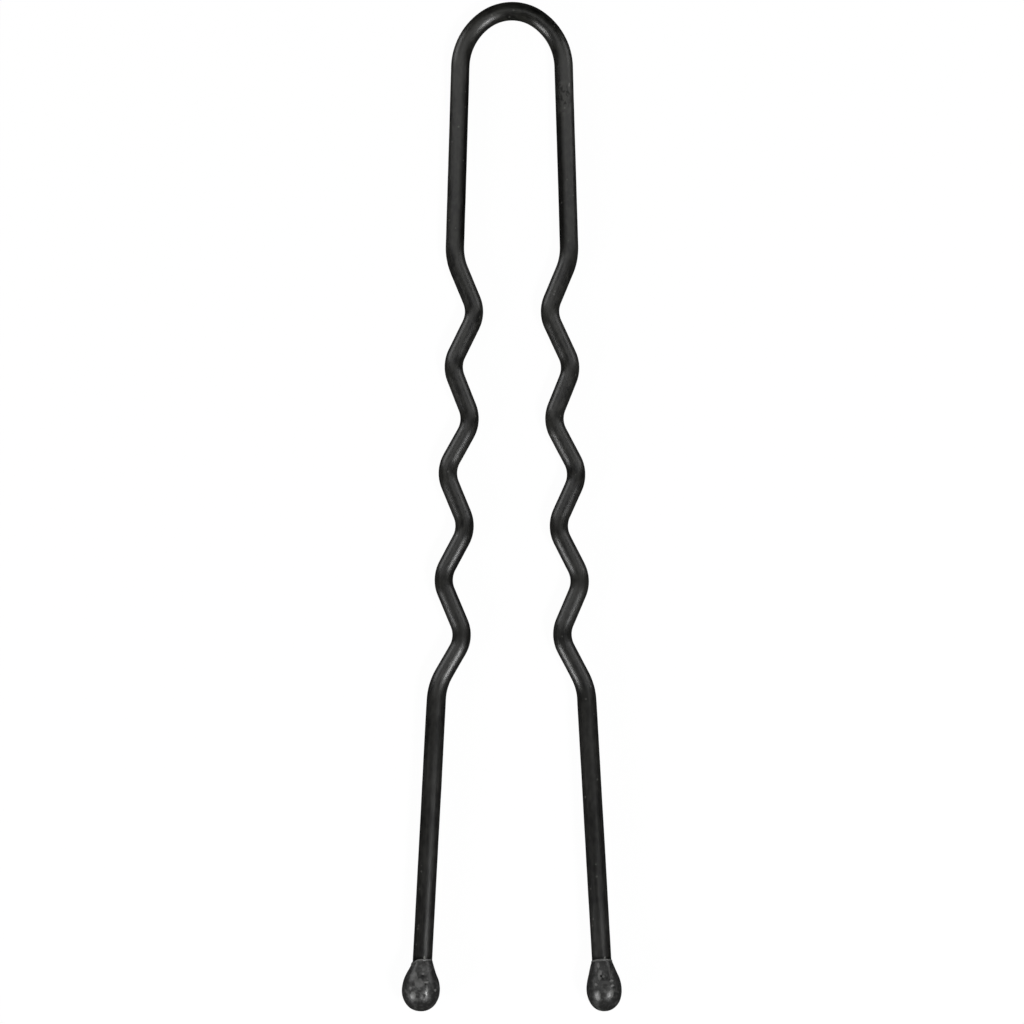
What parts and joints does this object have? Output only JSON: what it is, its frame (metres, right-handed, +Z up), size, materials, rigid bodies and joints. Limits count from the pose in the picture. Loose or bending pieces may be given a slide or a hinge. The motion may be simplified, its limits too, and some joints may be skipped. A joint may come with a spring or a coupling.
{
  "type": "hairpin",
  "caption": "U-shaped hairpin of black lacquered wire with a rounded bow, two waved legs and a resin bead on each tip.",
  "frame": {"origin": "centre of the underside of the pin's box: midway between the legs, midway along the pin, at the height of what the beads rest on", "axes": "+Y along the pin from the beads to the bow, +Z up out of the plane that the pin lies in, +X from the left leg to the right leg with the bow at the top"},
  "size_m": [0.014, 0.065, 0.0023],
  "materials": {
    "lacquered_wire": "satin black baked lacquer over drawn steel wire, with faint lengthwise drawing lines and small pits",
    "bead_resin": "glossy black dipped resin, slightly lumpy, with small dimples"
  },
  "bodies": {
    "root": {"bent_wire": "lacquered_wire", "left_bead": "bead_resin", "right_bead": "bead_resin"}
  },
  "joints": []
}
